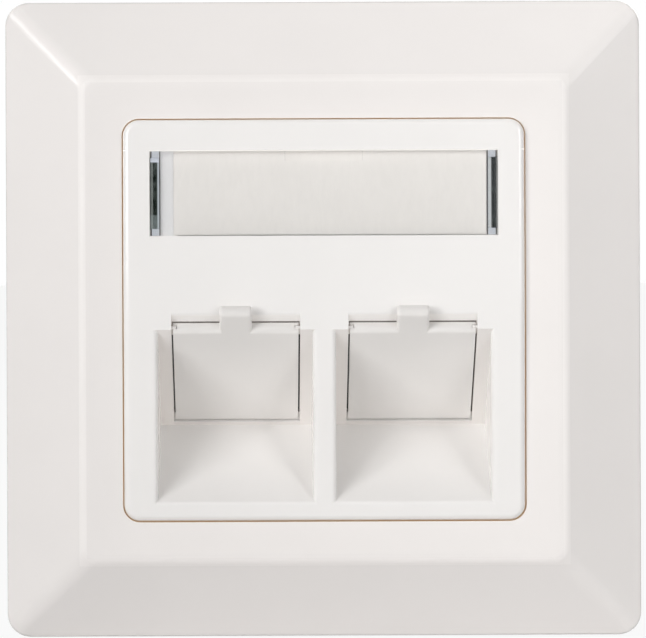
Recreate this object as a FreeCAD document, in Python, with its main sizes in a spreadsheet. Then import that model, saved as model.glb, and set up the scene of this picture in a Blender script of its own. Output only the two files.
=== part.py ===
"""Flush-mount faceplate for two snap-in jacks, as a parametric document.

The wall plane is Y = 0, the front faces -Y and +Z is up. The origin is the centre of
the box screws on the wall plane. All lengths are in millimetres.
"""

import FreeCAD, Part
import os
import Sketcher

doc = FreeCAD.newDocument("Faceplate")

SIZES = [
    # cover frame
    ("frame_width", 80.0),
    ("frame_corner", 3.0),
    ("frame_edge", 2.4),
    ("frame_edge_round", 0.5),
    ("frame_wall", 2.0),
    ("mitre_corner", 1.4),
    ("ring_face", 4.9),
    ("crease_corner", 1.8),
    ("crease_round", 1.6),
    ("crease_front", 8.3),
    ("ring_drop", 0.3),
    ("ring_margin", 0.5),
    ("ledge_reach", 1.6),
    ("ledge_thick", 1.6),
    # centre plate
    ("plate_width", 49.9),
    ("plate_gap", 0.15),
    ("plate_corner", 2.0),
    ("plate_round", 0.8),
    ("plate_front", 9.0),
    ("plate_wall", 1.6),
    ("skirt_wall", 1.5),
    ("fold_margin", 0.36),
    ("fold_angle", 1.0),
    # recesses and their sloped walls
    ("recess_margin", 4.25),
    ("divider_width", 2.9),
    ("recess_depth", 12.6),
    ("recess_round", 0.6),
    ("lip_round", 0.7),
    ("slope_top", -1.1),
    ("slope_angle", 45.0),
    ("slope_wall", 1.6),
    ("floor_margin", 1.95),
    ("well_wall", 1.3),
    ("hatch_length", 17.25),
    ("hatch_width", 16.0),
    # shutters
    ("shutter_thick", 1.1),
    ("shutter_gap", 0.2),
    ("shutter_end_gap", 0.15),
    ("shutter_chamfer", 0.5),
    ("shutter_round", 0.9),
    ("tab_round", 0.4),
    ("tab_width", 4.0),
    ("tab_length", 3.05),
    ("rail_depth", 0.6),
    ("rail_width", 0.5),
    ("rail_clear", 0.05),
    ("rail_start", 0.3),
    ("nub_length", 1.1),
    ("nub_start", 0.2),
    ("lug_length", 1.4),
    # label window and card
    ("pane_margin", 3.4),
    ("pane_height", 10.5),
    ("pane_thick", 1.2),
    ("pane_gap", 0.08),
    ("pane_top_margin", 3.9),
    ("leg_thick", 1.05),
    ("leg_height", 8.8),
    ("leg_length", 6.0),
    ("leg_clear", 0.08),
    ("notch_width", 9.5),
    ("notch_height", 1.3),
    ("card_thick", 0.25),
    ("card_left_gap", 1.875),
    ("card_right_gap", 0.275),
    ("card_edge_gap", 0.1),
    ("card_clear", 0.03),
    ("backing_wall", 1.4),
    # support ring
    ("ring_inset", 2.5),
    ("ring_corner", 7.0),
    ("ring_thick", 1.0),
    ("ring_clear", 0.6),
    ("ring_hole_gap", 1.0),
    ("ring_hole_corner", 1.5),
    ("screw_spacing", 60.0),
    ("slot_width", 4.0),
    ("slot_length", 7.5),
    ("collar_wall", 1.1),
    ("collar_length", 1.5),
    # jack carrier
    ("jack_inset", 0.075),
    ("jack_width", 14.9),
    ("jack_height", 16.5),
    ("jack_middle", 10.6),
    ("jack_lip", 1.8),
    ("jack_step", 1.2),
    ("jack_catch", 1.4),
    ("jack_catch_rise", 0.9),
    ("jack_depth", 9.0),
    ("carrier_wall", 1.5),
    ("carrier_clear", 0.5),
    ("flange_thick", 1.6),
    ("flange_side", 2.2),
    ("flange_gap", 0.7),
    ("flange_bottom", -6.5),
    ("flange_corner", 2.0),
    # fasteners
    ("rivet_land", 0.4),
    ("rivet_top_margin", 3.0),
    ("rivet_bottom_margin", 2.1),
    ("rivet_width", 2.4),
    ("rivet_head_width", 4.2),
    ("rivet_head_thick", 0.8),
    ("rivet_tail", 0.8),
    ("fastener_clear", 0.05),
    ("screw_width", 3.0),
    ("screw_hole_width", 3.4),
    ("screw_head_width", 5.6),
    ("screw_length", 10.0),
    ("drive_width", 2.6),
    ("drive_slot", 0.7),
    ("drive_depth", 1.2),
    ("post_width", 8.0),
    ("post_clear", 0.4),
]

sheet = doc.addObject("Spreadsheet::Sheet", "Sizes")
for row, (alias, value) in enumerate(SIZES, start=1):
    sheet.set("A%d" % row, alias)
    sheet.set("B%d" % row, str(value))
    sheet.setAlias("B%d" % row, alias)
doc.recompute()

NAMES = [alias for alias, _ in SIZES]

# lengths that follow from the sizes, so that pieces that belong together keep together
FOLLOWING = {
    "opening_width": "plate_width + 2 * plate_gap",
    "opening_corner": "plate_corner + plate_gap",
    "crease_width": "opening_width + 2 * ring_face",
    "ledge_width": "opening_width - 2 * ledge_reach",
    "recess_width": "(plate_width - 2 * recess_margin - divider_width) / 2",
    "port_pitch": "recess_width + divider_width",
    "jack_pitch": "port_pitch - 2 * jack_inset",
    "well_out": "port_pitch / 2 + recess_width / 2 + well_wall",
    "floor_front": "floor_margin - plate_width / 2",
    "lip_edge": "slope_top + (shutter_thick + shutter_gap) / cos(slope_angle)",
    "fold_height": "lip_edge + fold_margin",
    "pane_width": "plate_width - 2 * pane_margin",
    "pane_middle": "plate_width / 2 - pane_top_margin - pane_height / 2",
    "ring_width": "frame_width - 2 * frame_wall - 2 * ring_inset",
    "ring_hole_side": "well_out + ring_clear",
    "rivet_side": "ring_hole_side + rivet_land + rivet_head_width / 2",
    "rivet_upper": "flange_top - rivet_top_margin",
    "rivet_lower": "flange_bottom + rivet_bottom_margin",
    "flange_side_edge": "rivet_side + flange_side",
    "flange_top": "pane_middle - screw_width / 2 - collar_wall - flange_gap",
    # how far a cutting tool runs past the face that it cuts
    "overcut": "1",
    # how far inside the opening the dip of its ring starts
    "dip_lap": "0.02",
}


def cells(text):
    """Turn a formula of size names into one that reads the sheet's cells."""
    words = []
    word = ""
    for letter in str(text) + " ":
        if letter.isalnum() or letter in "_.":
            word += letter
            continue
        if word in FOLLOWING:
            word = "(%s)" % cells(FOLLOWING[word])
        words.append("Sizes." + word if word in NAMES else word)
        words.append(letter)
        word = ""
    return "".join(words).strip()


def bind(item, path, formula):
    item.setExpression(path, cells(formula))


def size(name):
    return float(sheet.get(name))


# edges this near to a line count as lying on it
TOUCH = 0.01


# ---------------------------------------------------------------- shapes
def box(name, x0, x1, y0, y1, z0, z1):
    """A block between two corners, each side given as a formula."""
    item = doc.addObject("Part::Box", name)
    bind(item, "Length", "(%s) - (%s)" % (x1, x0))
    bind(item, "Width", "(%s) - (%s)" % (y1, y0))
    bind(item, "Height", "(%s) - (%s)" % (z1, z0))
    bind(item, "Placement.Base.x", x0)
    bind(item, "Placement.Base.y", y0)
    bind(item, "Placement.Base.z", z0)
    return item


def slope_y(down, back):
    return "-plate_front + (%s) * cos(slope_angle) + (%s) * sin(slope_angle)" % (down, back)


def slope_z(down, back):
    return "slope_top - (%s) * sin(slope_angle) + (%s) * cos(slope_angle)" % (down, back)


def slab(name, x0, x1, down0, down1, back0, back1):
    """A block on the slope: 'down' runs down it from the face, 'back' into the wall."""
    item = doc.addObject("Part::Box", name)
    bind(item, "Length", "(%s) - (%s)" % (x1, x0))
    bind(item, "Width", "(%s) - (%s)" % (down1, down0))
    bind(item, "Height", "(%s) - (%s)" % (back1, back0))
    item.Placement = FreeCAD.Placement(
        FreeCAD.Vector(0, 0, 0), FreeCAD.Rotation(FreeCAD.Vector(1, 0, 0), -size("slope_angle"))
    )
    bind(item, "Placement.Base.x", x0)
    bind(item, "Placement.Base.y", slope_y(down0, back0))
    bind(item, "Placement.Base.z", slope_z(down0, back0))
    return item


def rod(name, radius, x, z, y0, y1, end_radius=None):
    """A cylinder, or a cone if it has an end radius, along Y."""
    kind = "Part::Cylinder" if end_radius is None else "Part::Cone"
    item = doc.addObject(kind, name)
    if end_radius is None:
        bind(item, "Radius", radius)
    else:
        bind(item, "Radius1", radius)
        bind(item, "Radius2", end_radius)
    bind(item, "Height", "(%s) - (%s)" % (y1, y0))
    item.Placement = FreeCAD.Placement(
        FreeCAD.Vector(0, 0, 0), FreeCAD.Rotation(FreeCAD.Vector(1, 0, 0), -90)
    )
    bind(item, "Placement.Base.x", x)
    bind(item, "Placement.Base.y", y0)
    bind(item, "Placement.Base.z", z)
    return item


def cut(name, base, tools):
    tool = tools[0] if len(tools) == 1 else fuse(name + "Tools", tools)
    item = doc.addObject("Part::Cut", name)
    item.Base = base
    item.Tool = tool
    return item


def fuse(name, items):
    item = doc.addObject("Part::MultiFuse", name)
    item.Shapes = items
    return item


def common(name, items):
    item = doc.addObject("Part::MultiCommon", name)
    item.Shapes = items
    return item


# ---------------------------------------------------------------- sketches
def rounded_outline(name, y, width, height, corner, middle_z="0"):
    """A sketch of a rectangle with round corners, facing the front."""
    sketch = doc.addObject("Sketcher::SketchObject", name)
    sketch.Placement = FreeCAD.Placement(
        FreeCAD.Vector(0, 0, 0), FreeCAD.Rotation(FreeCAD.Vector(1, 0, 0), 90)
    )
    bind(sketch, "Placement.Base.y", y)
    bind(sketch, "Placement.Base.z", middle_z)
    half = 10.0
    flat = 8.0
    turns = [(1, 1), (-1, 1), (-1, -1), (1, -1)]
    quarter = 1.5707963267948966
    axis = FreeCAD.Vector(0, 0, 1)
    ends = [
        ((flat, half), (-flat, half)),
        ((-half, flat), (-half, -flat)),
        ((-flat, -half), (flat, -half)),
        ((half, -flat), (half, flat)),
    ]
    for start, end in ends:
        line = Part.LineSegment(FreeCAD.Vector(*start, 0), FreeCAD.Vector(*end, 0))
        sketch.addGeometry(line, False)
    for index, (side, up) in enumerate(turns):
        circle = Part.Circle(FreeCAD.Vector(side * flat, up * flat, 0), axis, half - flat)
        arc = Part.ArcOfCircle(circle, index * quarter, (index + 1) * quarter)
        sketch.addGeometry(arc, False)
    rule = Sketcher.Constraint
    # arc i ends where line i starts, and line i ends where arc i + 1 starts
    for index in range(4):
        arc = 4 + index
        after = 4 + (index + 1) % 4
        sketch.addConstraint(rule("Tangent", arc, 2, index, 1))
        sketch.addConstraint(rule("Tangent", index, 2, after, 1))
    for index in (0, 2):
        sketch.addConstraint(rule("Horizontal", index))
        sketch.addConstraint(rule("Vertical", index + 1))
    for index in (5, 6, 7):
        sketch.addConstraint(rule("Equal", 4, index))
    sketch.addConstraint(rule("Symmetric", 4, 3, 6, 3, -1, 1))
    spans = [
        ("Radius", (4,), half - flat, corner),
        ("DistanceX", (1, 1, 3, 1), 2 * half, width),
        ("DistanceY", (2, 1, 0, 1), 2 * half, height),
    ]
    for kind, where, value, formula in spans:
        number = sketch.addConstraint(rule(kind, *where, value))
        bind(sketch, "Constraints[%d]" % number, formula)
    return sketch


def side_outline(name, points):
    """A sketch of straight lines through (y, z) formulas, facing +X."""
    sketch = doc.addObject("Sketcher::SketchObject", name)
    turn = FreeCAD.Rotation(FreeCAD.Vector(1, 1, 1), 120)
    sketch.Placement = FreeCAD.Placement(FreeCAD.Vector(0, 0, 0), turn)
    count = len(points)
    places = [(value_of(y), value_of(z)) for y, z in points]
    for index in range(count):
        start = FreeCAD.Vector(*places[index], 0)
        end = FreeCAD.Vector(*places[(index + 1) % count], 0)
        sketch.addGeometry(Part.LineSegment(start, end), False)
    rule = Sketcher.Constraint
    for index in range(count):
        sketch.addConstraint(rule("Coincident", index, 2, (index + 1) % count, 1))
    for index, (y, z) in enumerate(points):
        across = sketch.addConstraint(rule("DistanceX", index, 1, places[index][0]))
        bind(sketch, "Constraints[%d]" % across, y)
        up = sketch.addConstraint(rule("DistanceY", index, 1, places[index][1]))
        bind(sketch, "Constraints[%d]" % up, z)
    return sketch


def value_of(formula):
    """The present value of a formula of size names."""
    value = sheet.evalExpression(cells(formula).replace("Sizes.", ""))
    return float(value.Value if hasattr(value, "Value") else value)


def prism(name, sketch, length):
    """A sketch pushed out along its own normal."""
    item = doc.addObject("Part::Extrusion", name)
    item.Base = sketch
    item.DirMode = "Normal"
    item.Solid = True
    bind(item, "LengthFwd", length)
    return item


def bar(name, points, x0, x1):
    """A side outline pushed along X between two places."""
    sketch = side_outline(name + "Outline", points)
    bind(sketch, "Placement.Base.x", x0)
    return prism(name, sketch, "(%s) - (%s)" % (x1, x0))


def loft(name, sketches):
    item = doc.addObject("Part::Loft", name)
    item.Sections = sketches
    item.Solid = True
    item.Ruled = True
    return item


def fillet(name, base, radius, chosen):
    """Round those edges of the base that 'chosen' says yes to."""
    doc.recompute()
    item = doc.addObject("Part::Fillet", name)
    item.Base = base
    edges = enumerate(base.Shape.Edges, start=1)
    item.Edges = [(number, radius, radius) for number, edge in edges if chosen(edge)]
    return item


# ---------------------------------------------------------------- cover frame
LEDGE_FRONT = "(ring_thick + ledge_thick)"


def cover_frame():
    outline = rounded_outline("FrameOutline", "0", "frame_width", "frame_width", "frame_corner")
    block = prism("FrameBlock", outline, "crease_front")
    bevel_low = rounded_outline(
        "BevelLow", "-frame_edge", "frame_width", "frame_width", "mitre_corner")
    bevel_base = rounded_outline(
        "BevelBase", "overcut", "frame_width + 2 * overcut", "frame_width + 2 * overcut", "mitre_corner")
    bevel_base_top = rounded_outline(
        "BevelBaseTop", "-frame_edge", "frame_width + 2 * overcut",
        "frame_width + 2 * overcut", "mitre_corner")
    crease = rounded_outline(
        "Crease", "-crease_front", "crease_width", "crease_width", "crease_corner")
    pyramid = fuse("FramePyramid", [
        loft("FrameBevel", [bevel_low, crease]),
        loft("FrameFoot", [bevel_base, bevel_base_top]),
    ])
    solid = common("FrameSolid", [block, pyramid])
    front = -size("crease_front")
    foot = -size("frame_edge")
    reach = size("frame_width") / 2
    # at the round corners the bevel starts further forward than along the sides
    corner_rise = 2 * size("frame_wall") - size("frame_edge_round")
    crease_edge = fillet(
        "FrameCrease", solid, size("crease_round"),
        lambda one: abs(one.BoundBox.YMin - front) < TOUCH and abs(one.BoundBox.YMax - front) < TOUCH)

    def on_outline(one):
        middle = one.valueAt((one.FirstParameter + one.LastParameter) / 2)
        across = max(abs(middle.x), abs(middle.z))
        corner = size("frame_corner")
        inside = FreeCAD.Vector(abs(middle.x) - reach + corner, 0, abs(middle.z) - reach + corner)
        at_corner = min(inside.x, inside.z) > 0 and abs(inside.Length - corner) < TOUCH
        return abs(across - reach) < TOUCH or at_corner

    def on_edge(one):
        span = one.BoundBox
        return on_outline(one) and foot - corner_rise < span.YMin and span.YMax < foot + TOUCH

    rounded = fillet("FrameRounded", crease_edge, size("frame_edge_round"), on_edge)
    # the hollow follows the outside at one wall's thickness
    inside = "frame_width - 2 * frame_wall"
    hollow_foot = rounded_outline("HollowFoot", "overcut", inside, inside, "frame_corner - frame_wall / 2")
    hollow_edge = rounded_outline(
        "HollowEdge", "-(frame_edge - frame_wall / 2)", inside, inside, "frame_corner - frame_wall / 2")
    hollow_top = rounded_outline(
        "HollowTop", "-(crease_front - frame_wall)", "crease_width - frame_wall",
        "crease_width - frame_wall", "crease_corner")
    hollow = loft("FrameHollow", [hollow_foot, hollow_edge, hollow_top])
    shell = cut("FrameShell", rounded, [hollow])
    wall_outline = rounded_outline(
        "OpeningWallOutline", "-ring_thick", "opening_width + 2 * frame_wall",
        "opening_width + 2 * frame_wall", "opening_corner + frame_wall")
    wall = prism("OpeningWall", wall_outline, "crease_front - ring_thick - frame_wall / 2")
    opening_outline = rounded_outline(
        "OpeningOutline", "-" + LEDGE_FRONT, "opening_width", "opening_width", "opening_corner")
    opening = prism("FrameOpening", opening_outline, "crease_front")
    ledge_outline = rounded_outline(
        "LedgeOutline", "overcut", "ledge_width", "ledge_width", "opening_corner")
    ledge = prism("LedgeOpening", ledge_outline, "crease_front")
    # the ring round the opening dips towards the plate
    dip_low = rounded_outline(
        "DipLow", "-(crease_front - ring_drop)", "opening_width - dip_lap", "opening_width - dip_lap",
        "opening_corner")
    dip_high = rounded_outline(
        "DipHigh", "-(crease_front + ring_drop / 10)", "crease_width - 2 * ring_margin",
        "crease_width - 2 * ring_margin", "crease_corner")
    dip = loft("RingDip", [dip_low, dip_high])
    whole = fuse("FrameWhole", [shell, wall])
    return cut("CoverFrame", whole, [opening, ledge, dip])


# ---------------------------------------------------------------- centre plate
BACK = "-" + LEDGE_FRONT
SKIRT_INSIDE = "(plate_width / 2 - skirt_wall)"
PANE_BACK = "(-plate_front + pane_thick)"
FLOOR = "(-plate_front + pane_thick + card_thick + 2 * card_clear)"
FLOOR_BACK = "(" + FLOOR + " + backing_wall)"
DEEP_Y = "(recess_depth - plate_front)"
DEEP_Z = "(slope_top - recess_depth * tan(slope_angle))"
FLOOR_FALL = "((" + DEEP_Z + " - floor_front) / recess_depth)"
WELL_DROP = "(well_wall * sqrt(1 + " + FLOOR_FALL + "^2))"
LEG_OUT = "(pane_width / 2)"
LEG_IN = "(pane_width / 2 - leg_thick)"
LIP = "(shutter_thick + shutter_gap)"
FACE_LEAN = "(plate_width * sin(fold_angle))"


def floor_z(y, below="0"):
    """The height of the recess's floor at a depth, or of a line below it."""
    return "%s - (%s - (%s)) * %s - (%s)" % (DEEP_Z, DEEP_Y, y, FLOOR_FALL, below)


def plate_shell():
    outline = rounded_outline("PlateOutline", BACK, "plate_width", "plate_width", "plate_corner")
    block = prism("PlateBlock", outline, "plate_front + " + BACK)
    front = -size("plate_front")
    # the lower half of the face leans back a little below the fold
    fold = box(
        "FaceFold", "-plate_width", "plate_width", "-plate_front - plate_wall", "-plate_front",
        "-plate_width", "0")
    fold.Placement.Rotation = FreeCAD.Rotation(FreeCAD.Vector(1, 0, 0), size("fold_angle"))
    bind(fold, "Placement.Base.z", "fold_height - plate_width * cos(fold_angle)"
         " + plate_wall * sin(fold_angle)")
    bind(fold, "Placement.Base.y", "-plate_front + plate_width * sin(fold_angle)"
         " - plate_wall * cos(fold_angle)")
    folded = cut("PlateFolded", block, [fold])
    lean = value_of(FACE_LEAN)

    def on_front(one):
        span = one.BoundBox
        middle = one.valueAt((one.FirstParameter + one.LastParameter) / 2)
        reach = size("plate_width") / 2 - size("plate_corner")
        at_rim = max(abs(middle.x), abs(middle.z)) > reach
        return at_rim and front - TOUCH < span.YMin and span.YMax < front + lean

    rounded = fillet("PlateRounded", folded, size("plate_round"), on_front)
    inside = "2 * " + SKIRT_INSIDE
    hollow_outline = rounded_outline(
        "PlateHollowOutline", "0", inside, inside, "plate_corner - skirt_wall / 2")
    hollow = prism("PlateHollow", hollow_outline, "plate_front - plate_wall")
    return cut("PlateShell", rounded, [hollow])


def well_blocks():
    """The solid that both recesses are sunk into: slope wall, floor and sides."""
    inner = "(-plate_front + plate_wall / 2)"
    rear_at_front = "slope_top + slope_wall / cos(slope_angle) - plate_wall / 2 * tan(slope_angle)"
    corner_down = "(recess_depth / cos(slope_angle) + well_wall)"
    outline = [
        (inner, rear_at_front),
        (slope_y(corner_down, "slope_wall"), slope_z(corner_down, "slope_wall")),
        (slope_y(corner_down, "0"), floor_z(slope_y(corner_down, "0"), WELL_DROP)),
        (inner, floor_z(inner, WELL_DROP)),
    ]
    return bar("WellBlock", outline, "-well_out", "well_out")


def recess(side, name):
    """The air in one recess, in front of its slope and floor."""
    ahead = "(-plate_front - 2 * plate_wall)"
    outline = [
        (ahead, "slope_top + 2 * plate_wall * tan(slope_angle)"),
        (DEEP_Y, DEEP_Z),
        (ahead, floor_z(ahead)),
    ]
    middle = "%d * port_pitch / 2" % side
    return bar(
        "Recess" + name, outline, middle + " - recess_width / 2", middle + " + recess_width / 2")


def shutter_way(side, name):
    """The hole in the slope that a shutter closes, with the grooves for its lugs."""
    middle = "%d * jack_pitch / 2" % side
    left = middle + " - hatch_width / 2"
    right = middle + " + hatch_width / 2"
    rail_top = "nub_start + nub_length + rail_clear"
    rail_back = "rail_start + rail_width + rail_clear"
    front_part = slab(
        "WayFront" + name, left, right, "-(tab_length + overcut)", "hatch_length", "-overcut", LIP)
    back_part = slab(
        "WayBack" + name, left, right, rail_top, "hatch_length", "-overcut", "slope_wall + overcut")
    grooves = slab(
        "WayGrooves" + name, left + " - rail_depth", right + " + rail_depth", rail_top,
        "hatch_length", "rail_start - rail_clear", rail_back)
    return [front_part, back_part, grooves]


def shutter_nubs(side, name):
    """Two nubs beside the lip that run in the shutter's edge grooves."""
    nubs = []
    for end, tag in ((-1, "Left"), (1, "Right")):
        wall = "%d * jack_pitch / 2 + %d * hatch_width / 2" % (side, end)
        tip = "%s - %d * (shutter_gap + rail_depth * 2 / 3)" % (wall, end)
        root = "%s + %d * rail_depth" % (wall, end)
        low, high = (tip, root) if end > 0 else (root, tip)
        nubs.append(slab(
            "Nub" + name + tag, low, high, "nub_start", "nub_start + nub_length",
            "rail_start + rail_clear", "rail_start + rail_width - rail_clear"))
    return nubs


def label_seat():
    """What is cut for the label window, and the thicker wall behind it."""
    half_width = "(pane_width / 2 + pane_gap)"
    half_height = "(pane_height / 2 + pane_gap)"
    low = "pane_middle - " + half_height
    high = "pane_middle + " + half_height
    pocket = box(
        "LabelPocket", "-" + half_width, half_width, "-plate_front - overcut", FLOOR, low, high)
    slots = []
    for side, name in ((-1, "Left"), (1, "Right")):
        ends = ["%d * (%s + leg_clear)" % (side, LEG_OUT), "%d * (%s - leg_clear)" % (side, LEG_IN)]
        x0, x1 = ends if side < 0 else ends[::-1]
        slots.append(box(
            "LegSlot" + name, x0, x1, FLOOR + " - overcut", FLOOR_BACK + " + overcut",
            "pane_middle - leg_height / 2 - leg_clear",
            "pane_middle + leg_height / 2 + leg_clear"))
    rim = "plate_wall / 2"
    backing = box(
        "LabelBacking", "-%s - %s" % (half_width, rim), "%s + %s" % (half_width, rim),
        "-plate_front + plate_wall / 2", FLOOR_BACK, low + " - " + rim, high + " + " + rim)
    return backing, [pocket] + slots


def centre_plate():
    backing, label_cuts = label_seat()
    post = rod(
        "ScrewPost", "post_width / 2", "0", "pane_middle", FLOOR, "-ring_thick - post_clear")
    screw_hole = rod(
        "ScrewHole", "screw_hole_width / 2", "0", "pane_middle", "-plate_front", "0")
    sink = rod(
        "ScrewSink", "screw_head_width / 2 + fastener_clear", "0", "pane_middle", FLOOR,
        FLOOR + " + screw_head_width / 2 - screw_width / 2", "screw_width / 2 + fastener_clear")
    recesses = []
    ways = []
    nubs = []
    for side, name in SIDES:
        recesses.append(recess(side, name))
        ways += shutter_way(side, name)
        nubs += shutter_nubs(side, name)
    body = fuse("PlateBody", [plate_shell(), well_blocks(), backing, post])
    sunk = cut("PlateSunk", body, recesses)
    front = -size("plate_front")
    lean = value_of(FACE_LEAN)
    rim_top = value_of("slope_top - plate_round / 2")
    pitch = value_of("port_pitch")
    width = value_of("recess_width")

    def on_recess_rim(one):
        """The upright and lower edges where a recess meets the face."""
        span = one.BoundBox
        middle = one.valueAt((one.FirstParameter + one.LastParameter) / 2)
        beside = abs(abs(middle.x) - pitch / 2) <= width / 2 + TOUCH
        inner = abs(middle.z) < size("plate_width") / 2 - size("skirt_wall") / 2
        flat = span.YMin > front - TOUCH and span.YMax < front + lean
        return beside and flat and inner and middle.z < rim_top

    softened = fillet("PlateSoftened", sunk, size("recess_round"), on_recess_rim)
    opened = cut("PlateOpened", softened, ways + label_cuts + [screw_hole, sink])
    lip_edge = value_of("lip_edge")

    def on_lip(one):
        """The edge where the underside of a lip meets the face."""
        middle = one.valueAt((one.FirstParameter + one.LastParameter) / 2)
        at_height = abs(middle.z - lip_edge) < size("fold_margin") / 4
        return at_height and middle.y < front + lean and one.BoundBox.XLength > size("tab_width")

    lipped = fillet("PlateLipped", opened, size("lip_round"), on_lip)
    return fuse("CentrePlate", [lipped] + nubs)


# ---------------------------------------------------------------- shutters
SIDES = ((-1, "Left"), (1, "Right"))


def on_slope_at(one):
    """How far down the slope and how far behind it the middle of an edge lies."""
    middle = one.valueAt((one.FirstParameter + one.LastParameter) / 2)
    y = middle.y + size("plate_front")
    z = middle.z - size("slope_top")
    run = value_of("cos(slope_angle)")
    rise = value_of("sin(slope_angle)")
    return y * run - z * rise, y * rise + z * run


def on_slope(down):
    """Says yes to an edge across the slope's own face, that far down it."""
    place = value_of(down)

    def chosen(one):
        reached, back = on_slope_at(one)
        across = one.BoundBox.XLength > TOUCH
        return across and abs(reached - place) < TOUCH and abs(back) < TOUCH

    return chosen


def shutter(side, name):
    middle = "%d * jack_pitch / 2" % side
    half = "(hatch_width / 2 - shutter_gap)"
    end = "(hatch_length - shutter_end_gap)"
    lug_top = end + " - lug_length"
    leaf = slab(
        "Leaf" + name, middle + " - " + half, middle + " + " + half, "0", end, "0",
        "shutter_thick")
    tab = slab(
        "Tab" + name, middle + " - tab_width / 2", middle + " + tab_width / 2", "-tab_length",
        "shutter_round + tab_round", "0", "shutter_thick")
    lugs = slab(
        "Lugs" + name, middle + " - %s - rail_depth" % half, middle + " + %s + rail_depth" % half,
        lug_top, end, "rail_start", "rail_start + rail_width")
    grooves = []
    for away, tag in ((-1, "Left"), (1, "Right")):
        edge = "%s + %d * %s" % (middle, away, half)
        inner = "%s - %d * rail_depth * 5 / 6" % (edge, away)
        outer = "%s + %d * overcut" % (edge, away)
        low, high = (inner, outer) if away > 0 else (outer, inner)
        grooves.append(slab(
            "EdgeGroove" + name + tag, low, high, "-overcut", lug_top, "rail_start",
            "rail_start + rail_width"))
    leaf_top = fillet("LeafTop" + name, leaf, size("shutter_round"), on_slope("0"))
    tab_top = fillet(
        "TabTop" + name, tab, size("shutter_round"), on_slope("-tab_length"))
    tab_sides = fillet(
        "TabSides" + name, tab_top, size("tab_round"),
        lambda one: one.BoundBox.XLength < TOUCH and abs(on_slope_at(one)[1]) < TOUCH)
    doc.recompute()
    drop = size("shutter_chamfer")
    chamfered = doc.addObject("Part::Chamfer", "ShutterChamfer" + name)
    chamfered.Base = leaf_top
    chamfered.Edges = [
        (number, drop, drop) for number, one in enumerate(leaf_top.Shape.Edges, start=1)
        if on_slope(end)(one)
    ]
    blank = fuse("ShutterBlank" + name, [chamfered, tab_sides])
    grooved = cut("ShutterGrooved" + name, blank, grooves)
    return fuse("Shutter" + name, [grooved, lugs])


# ---------------------------------------------------------------- label
def label_window():
    half = "(pane_width / 2)"
    low = "pane_middle - pane_height / 2"
    high = "pane_middle + pane_height / 2"
    pane = box("Pane", "-" + half, half, "-plate_front", PANE_BACK, low, high)
    legs = []
    for side, name in SIDES:
        ends = ["%d * %s" % (side, LEG_OUT), "%d * %s" % (side, LEG_IN)]
        x0, x1 = ends if side < 0 else ends[::-1]
        legs.append(box(
            "Leg" + name, x0, x1, "-plate_front + pane_thick / 2", "-plate_front + leg_length",
            "pane_middle - leg_height / 2", "pane_middle + leg_height / 2"))
    notch = box(
        "PryNotch", "-notch_width / 2", "notch_width / 2", "-plate_front - overcut",
        PANE_BACK + " + overcut", high + " - notch_height", high + " + overcut")
    whole = fuse("LabelWhole", [pane] + legs)
    return cut("LabelWindow", whole, [notch])


def label_card():
    return box(
        "LabelCard", "card_left_gap - " + LEG_IN, LEG_IN + " - card_right_gap",
        PANE_BACK + " + card_clear", PANE_BACK + " + card_clear + card_thick",
        "pane_middle - pane_height / 2 + card_edge_gap",
        "pane_middle + pane_height / 2 - card_edge_gap")


# ---------------------------------------------------------------- support ring
CARRIER_FRONT = "(slope_wall + carrier_clear)"
CARRIER_SHOULDER = "(slope_wall + carrier_clear + jack_lip)"
CARRIER_STEP = "(slope_wall + carrier_clear + jack_lip / 3)"
CARRIER_BACK = "(slope_wall + carrier_clear + jack_depth)"
CARRIER_TOP = "(jack_middle - jack_height / 2 - jack_step - carrier_wall)"


def slot(name, x, z, along_x):
    """A slot with round ends through the ring."""
    half = "(slot_length - slot_width) / 2"
    dx, dz = (half, "0") if along_x else ("0", half)
    ends = [
        rod(name + "Start", "slot_width / 2", "%s - %s" % (x, dx), "%s - %s" % (z, dz),
            "-ring_thick - overcut", "overcut"),
        rod(name + "End", "slot_width / 2", "%s + %s" % (x, dx), "%s + %s" % (z, dz),
            "-ring_thick - overcut", "overcut"),
    ]
    wide_x = half if along_x else "slot_width / 2"
    wide_z = "slot_width / 2" if along_x else half
    middle = box(
        name + "Middle", "%s - %s" % (x, wide_x), "%s + %s" % (x, wide_x),
        "-ring_thick - overcut", "overcut", "%s - %s" % (z, wide_z), "%s + %s" % (z, wide_z))
    return fuse(name, ends + [middle])


RIVETS = [
    ("UpperLeft", "-rivet_side", "rivet_upper"),
    ("UpperRight", "rivet_side", "rivet_upper"),
    ("LowerLeft", "-rivet_side", "rivet_lower"),
    ("LowerRight", "rivet_side", "rivet_lower"),
]


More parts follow.
